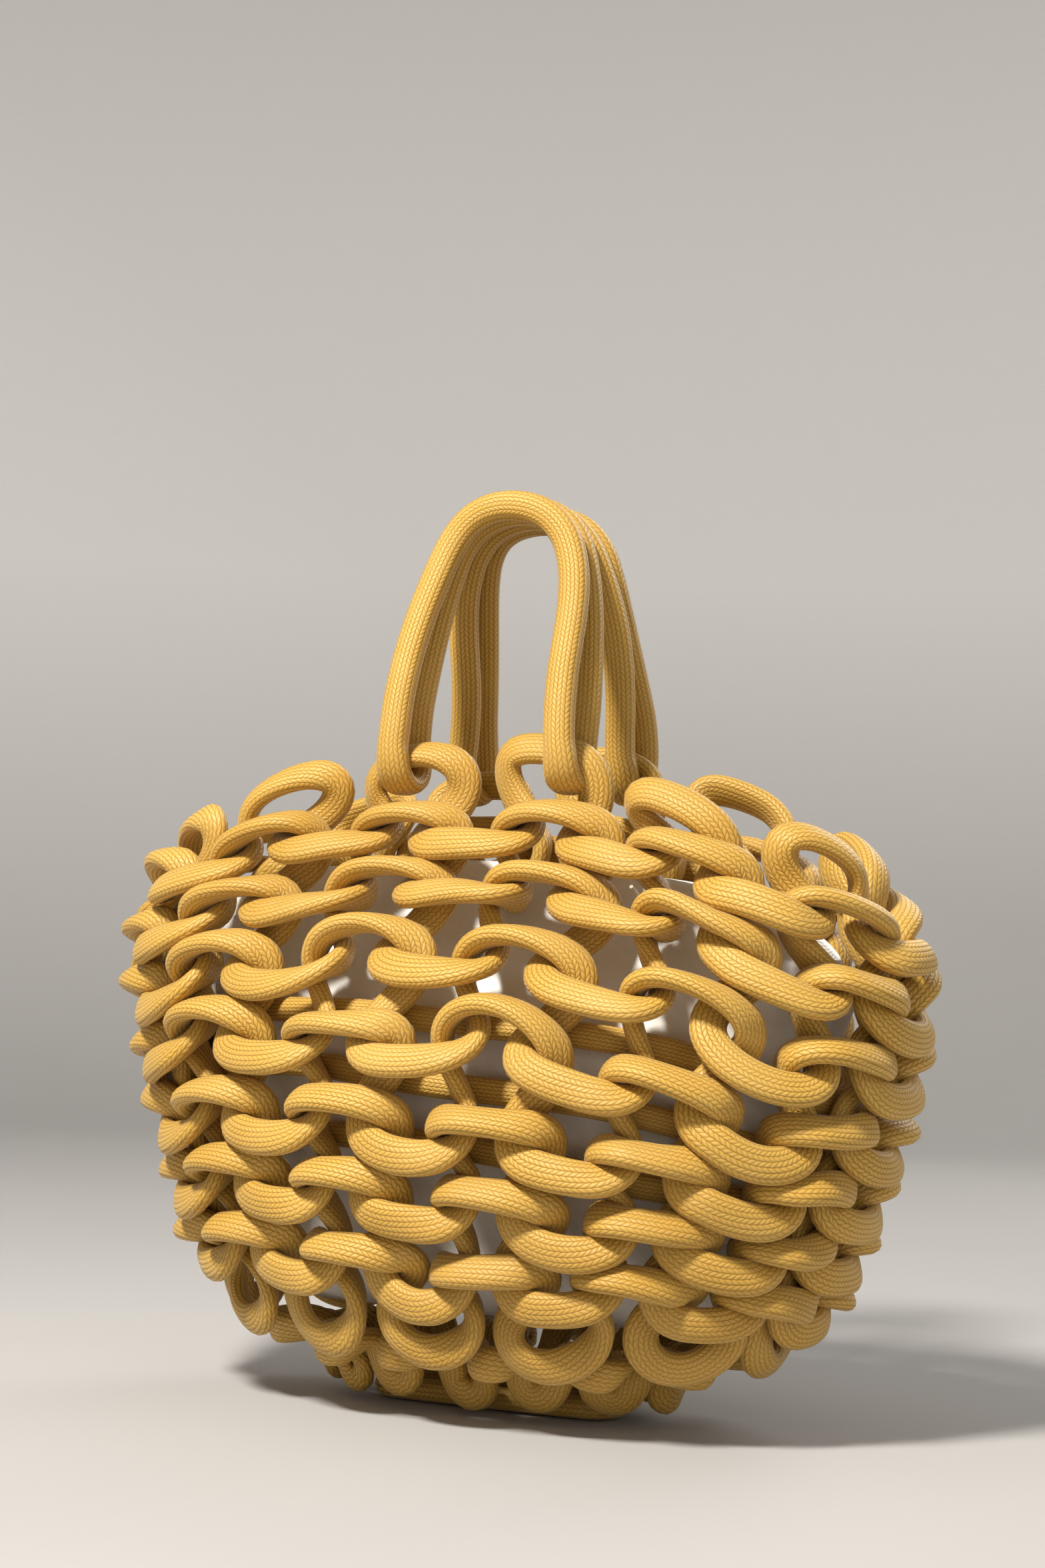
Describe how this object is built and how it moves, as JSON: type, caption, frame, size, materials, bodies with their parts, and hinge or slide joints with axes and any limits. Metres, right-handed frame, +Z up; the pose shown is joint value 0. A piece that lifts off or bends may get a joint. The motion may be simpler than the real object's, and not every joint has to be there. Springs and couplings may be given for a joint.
{
  "type": "knitted cord handbag",
  "caption": "Round-bottomed handbag knitted from thick braided cord, with cord sling handles and a sewn cotton lining pouch.",
  "frame": {"origin": "on the floor under the middle of the bag's base, when the bag stands on it", "axes": "+Z up towards the handles, +X along the long side of the mouth, front at -Y"},
  "size_m": [0.3495, 0.1924, 0.365],
  "materials": {
    "cord": "waxed braided cotton cord, mustard yellow, slight sheen",
    "lining": "off-white cotton twill, matt",
    "thread": "off-white cotton thread"
  },
  "bodies": {
    "bag": {"base_ring": "cord", "base_course": "cord", "course_1": "cord", "course_2": "cord", "course_3": "cord", "course_4": "cord", "course_5": "cord", "course_6": "cord", "course_7": "cord", "bind_off": "cord", "inlay_1": "cord", "inlay_2": "cord", "inlay_3": "cord", "lining_front": "lining", "lining_back": "lining", "tack_1": "thread", "tack_2": "thread", "tack_3": "thread", "tack_4": "thread", "tack_5": "thread", "tack_6": "thread", "tack_7": "thread", "tack_8": "thread"},
    "front_handle": {"handle_front": "cord"},
    "back_handle": {"handle_back": "cord"}
  },
  "joints": [
    {"name": "front_handle_swing", "type": "hinge", "parent": "bag", "child": "front_handle", "pos_m": [0, -0.03152, 0.25618], "axis": [1, 0, 0], "range_deg": [0, 100]},
    {"name": "back_handle_swing", "type": "hinge", "parent": "bag", "child": "back_handle", "pos_m": [0, 0.03152, 0.25618], "axis": [-1, 0, 0], "range_deg": [0, 100]}
  ]
}
